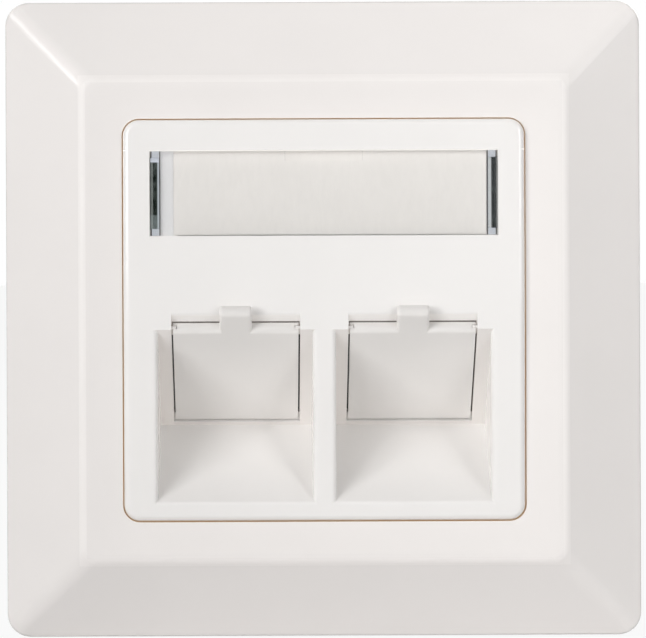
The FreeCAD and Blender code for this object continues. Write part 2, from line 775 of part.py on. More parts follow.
def support_ring():
    outline = rounded_outline("RingOutline", "0", "ring_width", "ring_width", "ring_corner")
    sheet_metal = prism("RingSheet", outline, "ring_thick")
    # its hole clears the carrier's upper corner and the underside of the wells
    top = "(%s + ring_hole_gap)" % slope_z(CARRIER_TOP, CARRIER_BACK)
    bottom = "(%s)" % floor_z("-ring_thick", WELL_DROP + " + ring_hole_gap")
    hole_outline = rounded_outline(
        "RingHoleOutline", "overcut", "2 * ring_hole_side", "%s - %s" % (top, bottom),
        "ring_hole_corner", "(%s + %s) / 2" % (top, bottom))
    hole = prism("RingHole", hole_outline, "ring_thick + 2 * overcut")
    slots = [
        slot("SlotLeft", "-screw_spacing / 2", "0", True),
        slot("SlotRight", "screw_spacing / 2", "0", True),
        slot("SlotTop", "0", "screw_spacing / 2", False),
        slot("SlotBottom", "0", "-screw_spacing / 2", False),
    ]
    collar = rod(
        "ScrewCollar", "screw_width / 2 + collar_wall", "0", "pane_middle", "-ring_thick / 2",
        "collar_length")
    thread = rod(
        "ScrewThread", "screw_width / 2 + fastener_clear", "0", "pane_middle",
        "-ring_thick - overcut", "collar_length + overcut")
    seats = []
    for name, x, z in RIVETS:
        seats.append(rod(
            "RivetHole" + name, "rivet_width / 2 + fastener_clear", x, z,
            "-ring_thick - overcut", "overcut"))
        seats.append(rod(
            "RivetSink" + name, "rivet_head_width / 2 + fastener_clear", x, z, "-ring_thick",
            "-ring_thick + rivet_head_thick", "rivet_width / 2 + fastener_clear"))
    blank = fuse("RingBlank", [sheet_metal, collar])
    return cut("SupportRing", blank, [hole, thread] + slots + seats)


# ---------------------------------------------------------------- jack carrier
def module_carrier():
    half = "(jack_pitch / 2 + jack_width / 2 + carrier_wall)"
    top = "(jack_middle - jack_height / 2)"
    bottom = "(jack_middle + jack_height / 2)"
    front = slab(
        "CarrierFront", "-" + half, half, top + " - carrier_wall", bottom + " + carrier_wall",
        CARRIER_FRONT, CARRIER_BACK)
    rear = slab(
        "CarrierRear", "-" + half, half, CARRIER_TOP,
        bottom + " + jack_step + carrier_wall", CARRIER_STEP, CARRIER_BACK)
    flange_outline = rounded_outline(
        "FlangeOutline", "flange_thick", "2 * flange_side_edge", "flange_top - flange_bottom",
        "flange_corner", "(flange_top + flange_bottom) / 2")
    flange = prism("Flange", flange_outline, "flange_thick")
    tools = []
    for side, name in SIDES:
        left = "%d * jack_pitch / 2 - jack_width / 2" % side
        right = "%d * jack_pitch / 2 + jack_width / 2" % side
        tools.append(slab(
            "JackHole" + name, left, right, top, bottom, CARRIER_FRONT + " - overcut",
            CARRIER_BACK + " + jack_depth"))
        tools.append(slab(
            "JackRoom" + name, left, right, top + " - jack_step", bottom + " + jack_step",
            CARRIER_SHOULDER, CARRIER_BACK + " - jack_catch"))
        tools.append(slab(
            "JackEntry" + name, left, right, top + " - jack_step + jack_catch_rise",
            bottom + " + jack_step", CARRIER_BACK + " - jack_catch - overcut",
            CARRIER_BACK + " + jack_depth"))
    core = "(jack_pitch / 2 - jack_width / 2 - carrier_wall)"
    tools.append(slab(
        "CarrierCore", "-" + core, core, top, bottom, CARRIER_SHOULDER, CARRIER_BACK + " + overcut"))
    for name, x, z in RIVETS:
        tools.append(rod(
            "FlangeHole" + name, "rivet_width / 2 + fastener_clear", x, z, "-overcut",
            "flange_thick + overcut"))
    whole = fuse("CarrierWhole", [front, rear, flange])
    return cut("ModuleCarrier", whole, tools)


# ---------------------------------------------------------------- fasteners
def rivet(name, x, z):
    head = rod(
        "RivetHead" + name, "rivet_head_width / 2", x, z, "-ring_thick",
        "-ring_thick + rivet_head_thick", "rivet_width / 2")
    shank = rod(
        "RivetShank" + name, "rivet_width / 2", x, z, "-ring_thick", "flange_thick + rivet_tail")
    tail = rod(
        "RivetTail" + name, "rivet_head_width / 2", x, z, "flange_thick",
        "flange_thick + rivet_tail", "rivet_width / 2")
    return fuse("Rivet" + name, [head, shank, tail])


def centre_screw():
    start = FLOOR
    neck = start + " + screw_head_width / 2 - screw_width / 2"
    head = rod(
        "ScrewHead", "screw_head_width / 2", "0", "pane_middle", start, neck, "screw_width / 2")
    shank = rod(
        "ScrewShank", "screw_width / 2", "0", "pane_middle", start, start + " + screw_length")
    drives = []
    for name, wide, high in (("Across", "drive_width", "drive_slot"),
                             ("Upright", "drive_slot", "drive_width")):
        drives.append(box(
            "Drive" + name, "-%s / 2" % wide, "%s / 2" % wide, start + " - overcut",
            start + " + drive_depth", "pane_middle - %s / 2" % high,
            "pane_middle + %s / 2" % high))
    whole = fuse("ScrewWhole", [head, shank])
    return cut("CentreScrew", whole, drives)


# ---------------------------------------------------------------- the assembly
def build():
    nodes = {
        "cover_frame": cover_frame(),
        "centre_plate": centre_plate(),
        "label_window": label_window(),
        "label_card": label_card(),
        "support_ring": support_ring(),
        "module_carrier": module_carrier(),
        "centre_screw": centre_screw(),
    }
    for side, name in SIDES:
        nodes["shutter_" + name.lower()] = shutter(side, name)
    for name, x, z in RIVETS:
        label = "rivet_upper_" if name.startswith("Upper") else "rivet_lower_"
        nodes[label + name[5:].lower()] = rivet(name, x, z)
    return nodes


def check(nodes):
    for item in doc.Objects:
        if "Invalid" in item.State or "Error" in item.State:
            raise RuntimeError("%s failed to build" % item.Name)
    for label, item in nodes.items():
        if item.Shape.isNull() or not item.Shape.isValid():
            raise RuntimeError("%s has no valid shape" % label)
        if len(item.Shape.Solids) != 1:
            raise RuntimeError("%s is %d solids" % (label, len(item.Shape.Solids)))


nodes = build()
doc.recompute()
check(nodes)
os.makedirs("parts", exist_ok=True)
for label, item in nodes.items():
    item.Label = label
    item.Shape.exportStep("parts/%s.step" % label)
    print("%-20s %8.1f mm3" % (label, item.Shape.Volume))
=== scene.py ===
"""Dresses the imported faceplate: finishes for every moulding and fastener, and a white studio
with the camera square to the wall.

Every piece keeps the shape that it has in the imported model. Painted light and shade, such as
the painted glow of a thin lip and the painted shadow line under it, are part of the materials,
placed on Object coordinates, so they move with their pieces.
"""

import math

import bmesh
import bpy
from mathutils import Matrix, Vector


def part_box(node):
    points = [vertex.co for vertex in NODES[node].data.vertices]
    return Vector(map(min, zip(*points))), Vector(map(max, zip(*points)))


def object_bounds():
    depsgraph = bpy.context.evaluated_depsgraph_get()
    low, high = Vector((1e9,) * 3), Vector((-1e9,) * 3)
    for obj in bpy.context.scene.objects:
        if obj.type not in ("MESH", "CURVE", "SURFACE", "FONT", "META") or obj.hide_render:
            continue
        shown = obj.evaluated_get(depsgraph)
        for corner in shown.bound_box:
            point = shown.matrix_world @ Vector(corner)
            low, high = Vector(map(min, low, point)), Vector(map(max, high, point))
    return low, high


bl_info = {
    "name": "Jack Faceplate Dressing",
    "version": (1, 0, 0),
    "blender": (4, 5, 0),
    "location": "View3D > Sidebar > Faceplate",
    "description": "Finishes and studio for a flush-mount jack faceplate",
    "category": "Object",
}

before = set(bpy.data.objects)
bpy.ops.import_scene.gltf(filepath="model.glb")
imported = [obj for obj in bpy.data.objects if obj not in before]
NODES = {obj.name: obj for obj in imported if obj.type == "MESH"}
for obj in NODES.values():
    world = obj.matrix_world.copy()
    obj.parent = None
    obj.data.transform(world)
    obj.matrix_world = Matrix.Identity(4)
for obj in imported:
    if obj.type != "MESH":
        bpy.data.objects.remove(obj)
CAD_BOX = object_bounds()
MM = 0.001
# either part of a direction that slopes at 45 degrees
SLANT = math.sqrt(0.5)

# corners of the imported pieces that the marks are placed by
FRAME_LOW, FRAME_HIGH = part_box("cover_frame")
PLATE_LOW, PLATE_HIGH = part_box("centre_plate")
WINDOW_LOW, WINDOW_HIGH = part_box("label_window")
SHUTTER_LOW, SHUTTER_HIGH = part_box("shutter_left")

# lengths that the boxes don't tell
PLATE_CORNER = 2.0 * MM
JOINT_GAP = 0.15 * MM
# how far behind the plate's face the two walls of the joint round it start to carry a painted glow
FRAME_GLOW_START = 1.0 * MM
PLATE_GLOW_START = 0.9 * MM
# from the middle of the frame to the crease between its bevels and its inner ring
CREASE = 30.1 * MM
# from the end of a shutter's lug to just inside the opening's side
LUG_ROOM = 0.42 * MM
# how far the frame's thin outer edge, which is its outline, stands out from the wall
OUTER_EDGE = 2.4 * MM

# the share of the floor that shows plain white rather than its shadow
FLOOR_GLOW = 0.92
FLOOR_GREY = 0.6
FLOOR_HALF_WIDTH = 3.0
# how far the floor lies under the frame
FLOOR_GAP = 0.2 * MM
SENSOR_WIDTH = 36.0


# ---------------------------------------------------------------- shader wiring
class Wire:
    """A shader socket that can be reckoned with like a number."""

    def __init__(self, finish, socket):
        self.finish = finish
        self.socket = socket

    def maths(self, operation, first, second=None):
        values = {0: first} if second is None else {0: first, 1: second}
        return self.finish.node("ShaderNodeMath", {"operation": operation}, values)

    def __add__(self, other):
        return self.maths("ADD", self, other)

    __radd__ = __add__

    def __mul__(self, other):
        return self.maths("MULTIPLY", self, other)

    def __sub__(self, other):
        return self.maths("SUBTRACT", self, other)

    def __rsub__(self, other):
        return self.maths("SUBTRACT", other, self)

    def __truediv__(self, other):
        return self.maths("DIVIDE", self, other)

    def __abs__(self):
        return self.maths("ABSOLUTE", self)

    def power(self, exponent):
        return self.maths("POWER", self, exponent)

    def larger(self, other):
        return self.maths("MAXIMUM", self, other)

    def smaller(self, other):
        return self.maths("MINIMUM", self, other)

    def ramp(self, low, high, start=0.0, end=1.0):
        """A smooth change from start to end while this value goes from low to high."""
        settings = {"interpolation_type": "SMOOTHSTEP"}
        values = {"Value": self, "From Min": low, "From Max": high, "To Min": start, "To Max": end}
        return self.finish.node("ShaderNodeMapRange", settings, values)

    def rise(self, low, high, start=0.0, end=1.0):
        """The same for a length in metres, between two lengths given in millimetres."""
        return self.ramp(low * MM, high * MM, start, end)

    def between(self, start, full, fading, gone):
        """1 from 'full' to 'fading', and 0 outside 'start' and 'gone', all in millimetres."""
        return self.rise(start, full) * self.rise(gone, fading)

    def line(self, low, high):
        """1 between two lengths in millimetres, with narrow soft sides."""
        soft = 0.03
        return self.between(low - soft, low + soft, high - soft, high + soft)


class Finish:
    """A material, with one method that adds any node."""

    def __init__(self, name):
        self.material = bpy.data.materials.new(name)
        self.material.use_nodes = True
        self.tree = self.material.node_tree
        self.tree.nodes.clear()
        self.place = self.node("ShaderNodeTexCoord", {}, {}, "Object")

    def node(self, kind, settings, values, output=0):
        """Add a node, and give one of its outputs."""
        made = self.tree.nodes.new(kind)
        for name, value in settings.items():
            setattr(made, name, value)
        for name, value in values.items():
            socket = made.inputs[name]
            if isinstance(value, Wire):
                self.tree.links.new(value.socket, socket)
            else:
                socket.default_value = value
        return Wire(self, made.outputs[output])

    def parts(self, vector):
        """The three parts of a vector."""
        spot = self.node("ShaderNodeSeparateXYZ", {}, {"Vector": vector}, "X")
        outputs = spot.socket.node.outputs
        return [Wire(self, outputs[name]) for name in "XYZ"]

    def axes(self):
        """Where the surface is, on the piece's own axes."""
        return self.parts(self.place)

    def turned(self):
        """Which way the surface faces, on the piece's own axes."""
        return self.parts(self.node("ShaderNodeTexCoord", {}, {}, "Normal"))

    def noise(self, size, detail=2.0, stretch=(1, 1, 1)):
        """Noise whose blobs are about 'size' metres across."""
        spot = self.node("ShaderNodeMapping", {}, {"Vector": self.place, "Scale": stretch})
        values = {"Vector": spot, "Scale": 1 / size, "Detail": detail}
        return self.node("ShaderNodeTexNoise", {}, values)

    def mix(self, factor, first, second):
        """A colour that goes from the first to the second."""
        values = {0: factor, 6: first, 7: second}
        return self.node("ShaderNodeMix", {"data_type": "RGBA"}, values, 2)

    def clouded(self, clouds, rgb, share):
        """A colour that falls to a share of itself where the clouds are 0."""
        return self.mix(clouds, colour([level * share for level in rgb]), colour(rgb))

    def bands(self, value, stops):
        """Colours that change along a value from 0 to 1."""
        made = self.node("ShaderNodeValToRGB", {}, {"Fac": value}, "Color")
        ramp = made.socket.node.color_ramp
        while len(ramp.elements) < len(stops):
            ramp.elements.new(0.5)
        for element, (place, rgb) in zip(ramp.elements, stops):
            element.position = place
            element.color = colour(rgb)
        return made

    def bump(self, height, depth):
        """A relief 'depth' metres high where the height goes from 0 to 1."""
        return self.node("ShaderNodeBump", {}, {"Height": height, "Distance": depth}, "Normal")

    def surface(self, **values):
        """Close the material with a shader that these values drive."""
        sockets = {name.replace("_", " "): value for name, value in values.items()}
        shader = self.node("ShaderNodeBsdfPrincipled", {}, sockets)
        output = self.tree.nodes.new("ShaderNodeOutputMaterial")
        self.tree.links.new(shader.socket, output.inputs["Surface"])
        return self.material


def colour(rgb):
    """Red, green and blue with full cover."""
    return (*rgb, 1.0)


# ---------------------------------------------------------------- settings
class PlasticSettings(bpy.types.PropertyGroup):
    """The mouldings, and the painted glow where their walls are thin"""

    frame_colour: bpy.props.FloatVectorProperty(
        name="Frame colour", description="Cream white of the cover frame", subtype="COLOR",
        size=3, min=0, max=1, default=(0.80, 0.767, 0.747))
    plate_colour: bpy.props.FloatVectorProperty(
        name="Plate colour", description="White of the centre plate", subtype="COLOR",
        size=3, min=0, max=1, default=(0.812, 0.793, 0.776))
    shutter_colour: bpy.props.FloatVectorProperty(
        name="Shutter colour", description="White of the dust shutters", subtype="COLOR",
        size=3, min=0, max=1, default=(0.84, 0.815, 0.79))
    # painted glow: emission on the walls of the joint round the centre plate
    gap_glow_colour: bpy.props.FloatVectorProperty(
        name="Gap colour", description="Warm tone that thin plastic edges glow with",
        subtype="COLOR", size=3, min=0, max=1, default=(0.075, 0.042, 0.014))
    # painted glow: emission that lightens the thin lips over the shutters
    lip_glow_colour: bpy.props.FloatVectorProperty(
        name="Lip colour", description="Tone that the thin lips over the shutters glow with",
        subtype="COLOR", size=3, min=0, max=1, default=(0.14, 0.13, 0.12))
    # painted glow: emission that lightens the shade on the slopes beside the shutters
    ledge_glow_colour: bpy.props.FloatVectorProperty(
        name="Ledge colour", description="Tone that the slopes beside the shutters glow with",
        subtype="COLOR", size=3, min=0, max=1, default=(0.06, 0.045, 0.035))
    # painted glow: emission that lightens the shade on the wall over the label window
    seat_glow_colour: bpy.props.FloatVectorProperty(
        name="Seat colour", description="Tone that the wall over the label window glows with",
        subtype="COLOR", size=3, min=0, max=1, default=(0.45, 0.44, 0.43))
    gloss: bpy.props.FloatProperty(
        name="Gloss roughness", description="Roughness of the polished mouldings",
        subtype="FACTOR", min=0, max=1, default=0.14)
    peel: bpy.props.FloatProperty(
        name="Mould ripple", description="Height of the faint ripple in the polished faces",
        unit="LENGTH", min=0, default=0.0012 * MM, precision=7)


class CardSettings(bpy.types.PropertyGroup):
    """The label card"""

    colour: bpy.props.FloatVectorProperty(
        name="Card colour", description="Off-white of the blank label card", subtype="COLOR",
        size=3, min=0, max=1, default=(0.73, 0.705, 0.675))
    fibre: bpy.props.FloatProperty(
        name="Fibre size", description="Length of the paper's fibres", unit="LENGTH",
        min=0, default=0.5 * MM, precision=5)


class MetalSettings(bpy.types.PropertyGroup):
    """The support ring, the rivets and the screw"""

    zinc_colour: bpy.props.FloatVectorProperty(
        name="Zinc colour", description="Plated sheet of the support ring", subtype="COLOR",
        size=3, min=0, max=1, default=(0.62, 0.64, 0.66))
    fastener_colour: bpy.props.FloatVectorProperty(
        name="Fastener colour", description="Bright zinc of the rivets and the screw",
        subtype="COLOR", size=3, min=0, max=1, default=(0.70, 0.70, 0.68))


class StudioSettings(bpy.types.PropertyGroup):
    """The camera and the even light"""

    distance: bpy.props.FloatProperty(
        name="Camera distance", description="From the wall plane to the camera", unit="LENGTH",
        min=0.1, default=0.397)
    aside: bpy.props.FloatProperty(
        name="Camera aside", description="How far right of the middle the camera stands",
        unit="LENGTH", default=-0.0073)
    above: bpy.props.FloatProperty(
        name="Camera above", description="How far above the middle the camera stands",
        unit="LENGTH", default=0.0102)
    roll: bpy.props.FloatProperty(
        name="Camera roll", description="Turn of the picture", subtype="ANGLE",
        default=math.radians(0.24))
    fill: bpy.props.FloatProperty(
        name="Picture fill", description="Share of the picture's width that the frame takes",
        subtype="FACTOR", min=0.1, max=1, default=0.9815)
    sky: bpy.props.FloatProperty(
        name="Sky level", description="Strength of the even light from all round", min=0,
        default=0.235)


# ---------------------------------------------------------------- finishes
# the black of a shadow line, and how much of it a shutter's upper ends take
LINE_BLACK = (0.02, 0.016, 0.012)
END_SHADE = 0.2
# how much rougher the frame's crease is than its faces
CREASE_DULLNESS = 0.35


def moulded(name, rgb, roughness, plastic, glows=(), shadow=None, dull=None):
    """Polished injection moulding: faint ripple and clouding, and a painted glow that stands in
    for light through its thin edges.

    'glows' pairs masks with the colours of their painted glow, 'shadow' is a mask of painted shade
    that darkens, and 'dull' one that roughens.
    """
    finish = Finish(name)
    tone = finish.clouded(finish.noise(12 * MM, detail=3.0).ramp(0.3, 0.7), rgb, 0.985)
    if shadow:
        tone = finish.mix(shadow(finish), tone, colour(LINE_BLACK))
    ripple = finish.noise(2.8 * MM)
    worn = finish.noise(4 * MM, detail=4.0).ramp(0.35, 0.75, roughness, roughness * 1.25)
    if dull:
        worn = worn + dull(finish) * CREASE_DULLNESS
    sockets = {"Base_Color": tone, "Roughness": worn, "IOR": 1.5,
               "Normal": finish.bump(ripple, plastic.peel)}
    # painted glow: emission colour where the masks say, standing in for light
    if glows:
        light = colour((0, 0, 0))
        for mask, glow in glows:
            light = finish.mix(mask(finish), light, colour(glow))
        sockets["Emission_Color"] = light
        sockets["Emission_Strength"] = 1.0
    return finish.surface(**sockets)


def joint_mask(half, corner, top):
    """A mask of painted glow for a wall of the joint round the centre plate.

    'half' is half the wall's width, 'corner' the radius of its corners, and 'top' the depth
    from which it glows.
    """

    def mask(finish):
        x, y, z = finish.axes()
        across = abs(x) - (half - corner)
        up = abs(z) - (half - corner)
        outside = across.larger(0.0).power(2.0) + up.larger(0.0).power(2.0)
        away = abs(outside.power(0.5) + across.larger(up).smaller(0.0) - corner)
        return away.rise(0.16, 0.06) * (y - top).rise(0.1, 0.5)

    return mask


def over_shutter(x):
    """1 across the opening of either shutter, with sides 0.1 mm wide."""
    low = (LUG_ROOM - SHUTTER_HIGH.x) / MM
    high = (-SHUTTER_LOW.x - LUG_ROOM) / MM
    return abs(x).between(low, low + 0.1, high - 0.1, high)


def lip_glow(finish):
    """1 on the thin lips above the shutters, where a painted glow lightens them."""
    x, _, z = finish.axes()
    return over_shutter(x) * z.between(-0.6, -0.4, 0.3, 1.0)


def lip_shadow(finish):
    """1 along the line where a lip meets the top of its closed shutter."""
    x, y, z = finish.axes()
    deep = (y - PLATE_LOW.y).between(0.2, 0.3, 1.1, 1.2)
    return over_shutter(x) * deep * z.between(-0.6, -0.5, -0.16, -0.1)


def ledge_glow(finish):
    """1 on the slopes beside the shutters, which get a painted glow in place of the light that
    their thin walls pass.
    """
    _, back, up = finish.turned()
    return ((back + up) * -SLANT).ramp(0.93, 0.99)


def seat_glow(finish):
    """1 on the narrow wall over the label window, where a painted glow lightens its shade."""
    _, y, z = finish.axes()
    wall = (z - WINDOW_HIGH.z).between(0.02, 0.05, 0.12, 0.16)
    return wall * (y - PLATE_LOW.y).between(0.05, 0.2, 1.7, 2.0)


def dull_crease(finish):
    """1 along the crease between the bevels and the ring, which is less polished than they are."""
    x, _, z = finish.axes()
    return (abs(x).larger(abs(z)) - CREASE).line(-0.45, 0.45)


def end_shade(finish):
    """How much a shutter darkens where it turns up to its upper ends, which lie under the lips."""
    _, back, up = finish.turned()
    return ((up - back) * SLANT).ramp(0.25, 0.95) * END_SHADE


def card_paper(card):
    """Uncoated card with fibres and faint clouding."""
    finish = Finish("label_card_paper")
    fibre = finish.noise(card.fibre, detail=4.0, stretch=(1.0, 1.0, 0.35))
    cloud = finish.noise(6 * MM, detail=3.0)
    tone = finish.clouded((fibre * 0.6 + cloud * 0.4).ramp(0.3, 0.7), card.colour, 0.965)
    return finish.surface(
        Base_Color=tone, Roughness=0.85, Specular_IOR_Level=0.3,
        Normal=finish.bump(fibre, 0.01 * MM))


# painted shade and light that a leg of the label window shows end on, over LEG_REACH from its
# outer side inwards
LEG_REACH = 1.1 * MM
RIGHT_LEG_SHADING = (
    (0.0, (0.045, 0.052, 0.052)), (0.24, (0.05, 0.056, 0.056)), (0.36, (0.5, 0.52, 0.53)),
    (1.0, (0.6, 0.6, 0.6)))
LEFT_LEG_SHADING = (
    (0.0, (0.01, 0.014, 0.012)), (0.015, (0.16, 0.18, 0.17)), (0.09, (0.2, 0.21, 0.2)),
    (0.14, (0.008, 0.012, 0.01)), (0.58, (0.008, 0.012, 0.01)), (0.66, (0.36, 0.39, 0.42)),
    (0.84, (0.45, 0.48, 0.52)), (0.92, (0.02, 0.024, 0.022)))
LEG_SPECKS = (0.3, 0.34, 0.33)
LEG_FOOT_LIGHT = (0.36, 0.42, 0.42)
LEG_TIP_LIGHT = (0.6, 0.63, 0.7)
CLEAR = (0.92, 0.93, 0.93)
# painted light on the ends of the slots
PALE_LIGHT = (0.6, 0.64, 0.7)
# painted shade of the gaps round the pane
SHADE_LINE_BLACK = (0.015, 0.018, 0.017)
# what plain clear plastic mirrors seen straight on
STRAIGHT_GLOSS = 0.04


def leg_shading(finish, end, height, drop, left):
    """Painted shade and light: the dark of the slots, with pale strips, tip and foot, as the
    window's legs show them.
    """
    inward = end / LEG_REACH
    tones = finish.mix(left, finish.bands(inward, RIGHT_LEG_SHADING), finish.bands(inward, LEFT_LEG_SHADING))
    specks = finish.noise(0.7 * MM).ramp(0.4, 0.75) * 0.16
    tones = finish.mix(specks, tones, colour(LEG_SPECKS))
    tones = finish.mix(height.rise(2.7, 2.5) * left * 0.3, tones, colour(LEG_FOOT_LIGHT))
    return finish.mix(drop.rise(1.35, 1.15) * left, tones, colour(LEG_TIP_LIGHT))


def clear_plastic():
    """A thin clear pane that mirrors at a slant, with painted shade and light for the slots of its
    legs behind it.
    """
    finish = Finish("clear_window_plastic")
    ripple = finish.bump(finish.noise(5 * MM), 0.002 * MM)
    x, y, z = finish.axes()
    left = x.rise(1.0, -1.0)
    # distances from the window's nearer end, its front, its foot and its top
    end = WINDOW_HIGH.x - abs(x)
    depth = y - WINDOW_LOW.y
    height = z - WINDOW_LOW.z
    drop = WINDOW_HIGH.z - z
    front = depth.rise(0.06, 0.02)
    behind = depth.rise(1.25, 1.4)
    pane_back = depth.rise(1.12, 1.16) * (1 - behind)

    # a leg is clear from its sides, and end on shows painted shade and light for its slot
    across, _, up = finish.turned()
    outward = across * x.rise(-1.0, 1.0, -1.0, 1.0)
    outer = outward.ramp(0.4, 0.8).larger(abs(up).ramp(0.4, 0.8))
    side = outer.larger(outward.ramp(-0.4, -0.8) * depth.rise(1.7, 2.1))
    leg = behind * (1 - side)

    # painted shade lines for the gaps: the rims of the slots, the gap under the pane and the sides
    # of its notch
    rims = (end.rise(0.16, 0.12) + end.line(1.1, 1.24)) * 0.75
    foot = height.rise(0.03, 0.01) * 0.8
    foot = foot * (x - WINDOW_LOW.x).rise(3.37, 3.43) * (WINDOW_HIGH.x - x).rise(1.17, 1.23)
    notch = abs(x).line(4.75, 4.86) * drop.rise(1.35, 1.25)
    shade_lines = (pane_back * rims).larger(foot).larger(notch * front * 0.13)

    # painted light: a pale bluish tone on the ends of the slots, past the legs, and on a strip
    # beside the left one
    strip = pane_back * left * end.line(1.25, 2.85) * 0.2
    pale_light = (pane_back * end.rise(1.1, 1.08) * 0.65).larger(strip)

    facing = finish.node("ShaderNodeLayerWeight", {}, {"Blend": 0.5, "Normal": ripple}, "Facing")
    mirror = STRAIGHT_GLOSS + facing.power(5.0) * (1 - STRAIGHT_GLOSS)
    gloss = mirror * front * end.rise(0.9, 1.3, 0.1, 1.0)
    sheen = behind * side * (mirror + 0.05)
    tone = finish.mix(pale_light.ramp(0.0, 0.1), colour(CLEAR), colour(PALE_LIGHT))
    tone = finish.mix(shade_lines.ramp(0.0, 0.2), tone, colour(SHADE_LINE_BLACK))
    tone = finish.mix(leg, tone, leg_shading(finish, end, height, drop, left))
    return finish.surface(
        Base_Color=tone, Metallic=1.0, Roughness=0.04, Normal=ripple,
        Alpha=gloss.larger(sheen).larger(leg).larger(shade_lines).larger(pale_light))


def zinc_plate(metal):
    """Zinc-plated sheet with cloudy bloom and the fine lines of rolling."""
    finish = Finish("zinc_plated_sheet")
    roll = finish.noise(1.2 * MM, detail=5.0, stretch=(1.0, 1.0, 0.06))
    bloom = finish.noise(4 * MM, detail=4.0).ramp(0.35, 0.7)
    return finish.surface(
        Base_Color=finish.clouded(bloom, metal.zinc_colour, 0.86), Metallic=1.0,
        Roughness=bloom.ramp(0.0, 1.0, 0.42, 0.3), Normal=finish.bump(roll, 0.006 * MM))


def bright_zinc(metal):
    """Barrel-plated fasteners with a fine mottle."""
    finish = Finish("bright_zinc_fastener")
    bloom = finish.noise(0.8 * MM, detail=3.0)
    return finish.surface(
        Base_Color=finish.clouded(bloom, metal.fastener_colour, 0.85), Metallic=1.0,
        Roughness=bloom.ramp(0.3, 0.7, 0.3, 0.4), Normal=finish.bump(bloom, 0.002 * MM))


CARRIER_DARK = (0.035, 0.036, 0.038)
CARRIER_GREY = (0.05, 0.051, 0.053)


def grained_grey():
    """Dark moulding with the fine grain of an etched tool."""
    finish = Finish("grained_grey_moulding")
    grain = finish.noise(0.3 * MM, detail=3.0)
    tone = finish.mix(finish.noise(8 * MM), colour(CARRIER_DARK), colour(CARRIER_GREY))
    return finish.surface(
        Base_Color=tone, Roughness=grain.ramp(0.3, 0.7, 0.5, 0.66),
        Normal=finish.bump(grain, 0.01 * MM))


def dress(material, *names):
    """Give a material to every slot of the named nodes."""
    for name in names:
        for slot in NODES[name].material_slots:
            slot.material = material


# ---------------------------------------------------------------- operators
class FACEPLATE_OT_mouldings(bpy.types.Operator):
    """Finish the cover frame, the centre plate and the shutters"""

    bl_idname = "faceplate.mouldings"
    bl_label = "Mouldings"

    def execute(self, context):
        plastic = context.scene.faceplate_plastic
        opening = joint_mask(
            PLATE_HIGH.x + JOINT_GAP, PLATE_CORNER + JOINT_GAP, PLATE_LOW.y + FRAME_GLOW_START)
        skirt = joint_mask(PLATE_HIGH.x, PLATE_CORNER, PLATE_LOW.y + PLATE_GLOW_START)
        dress(moulded("cream_frame_plastic", plastic.frame_colour, plastic.gloss, plastic,
                      glows=[(opening, plastic.gap_glow_colour)], dull=dull_crease), "cover_frame")
        glows = [(skirt, plastic.gap_glow_colour), (ledge_glow, plastic.ledge_glow_colour),
                 (lip_glow, plastic.lip_glow_colour), (seat_glow, plastic.seat_glow_colour)]
        dress(moulded("white_plate_plastic", plastic.plate_colour, plastic.gloss, plastic,
                      glows=glows, shadow=lip_shadow), "centre_plate")
        dress(moulded("white_shutter_plastic", plastic.shutter_colour, plastic.gloss * 2, plastic,
                      shadow=end_shade), "shutter_left", "shutter_right")
        return {"FINISHED"}


class FACEPLATE_OT_label(bpy.types.Operator):
    """Finish the clear window and the blank card behind it"""

    bl_idname = "faceplate.label"
    bl_label = "Label window and card"

    def execute(self, context):
        dress(clear_plastic(), "label_window")
        dress(card_paper(context.scene.faceplate_card), "label_card")
        return {"FINISHED"}


class FACEPLATE_OT_carrier(bpy.types.Operator):
    """Finish the support ring, the jack carrier, the rivets and the screw"""

    bl_idname = "faceplate.carrier"
    bl_label = "Ring, carrier and fasteners"

    def execute(self, context):
        metal = context.scene.faceplate_metal
        dress(zinc_plate(metal), "support_ring")
        dress(grained_grey(), "module_carrier")
        rivets = [name for name in NODES if name.startswith("rivet")]
        dress(bright_zinc(metal), *rivets, "centre_screw")
        return {"FINISHED"}


class FACEPLATE_OT_studio(bpy.types.Operator):
    """Set up the floor, the backdrop, the lamps and the camera"""

    bl_idname = "faceplate.studio"
    bl_label = "Studio"

    def execute(self, context):
        studio = context.scene.faceplate_studio
        make_world(studio)
        make_floor()
        make_lamps()
        make_camera(studio)
        return {"FINISHED"}


# ---------------------------------------------------------------- studio
class Backdrop:
    """A node tree of the stage, with the rays that see it plain white."""

    def __init__(self, block):
        block.use_nodes = True
        self.tree = block.node_tree
        self.tree.nodes.clear()

    def add(self, kind, sockets, settings=()):
        """Add a node, and give its first output."""
        made = self.tree.nodes.new(kind)
        for name, value in settings:
            setattr(made, name, value)
        for name, value in sockets.items():
            if isinstance(value, bpy.types.NodeSocket):
                self.tree.links.new(value, made.inputs[name])
            else:
                made.inputs[name].default_value = value
        return made.outputs[0]

    def finish(self, kind, surface):
        output = self.tree.nodes.new(kind)
        self.tree.links.new(surface, output.inputs["Surface"])

    def seen(self):
        """1 on rays from the camera, off a mirror or through glass."""
        rays = self.tree.nodes.new("ShaderNodeLightPath").outputs
        most = (("operation", "MAXIMUM"),)
        mirrored = self.add(
            "ShaderNodeMath", {0: rays["Is Glossy Ray"], 1: rays["Is Transmission Ray"]}, most)
        return self.add("ShaderNodeMath", {0: rays["Is Camera Ray"], 1: mirrored}, most)


def make_world(studio):
    """White where it is seen, and an even light elsewhere."""
    world = bpy.data.worlds.new("studio_white")
    bpy.context.scene.world = world
    sky = Backdrop(world)
    strength = sky.add("ShaderNodeMapRange", {
        "Value": sky.seen(), "To Min": studio.sky, "To Max": 1.0})
    light = sky.add("ShaderNodeBackground", {"Color": (1, 1, 1, 1), "Strength": strength})
    sky.finish("ShaderNodeOutputWorld", light)


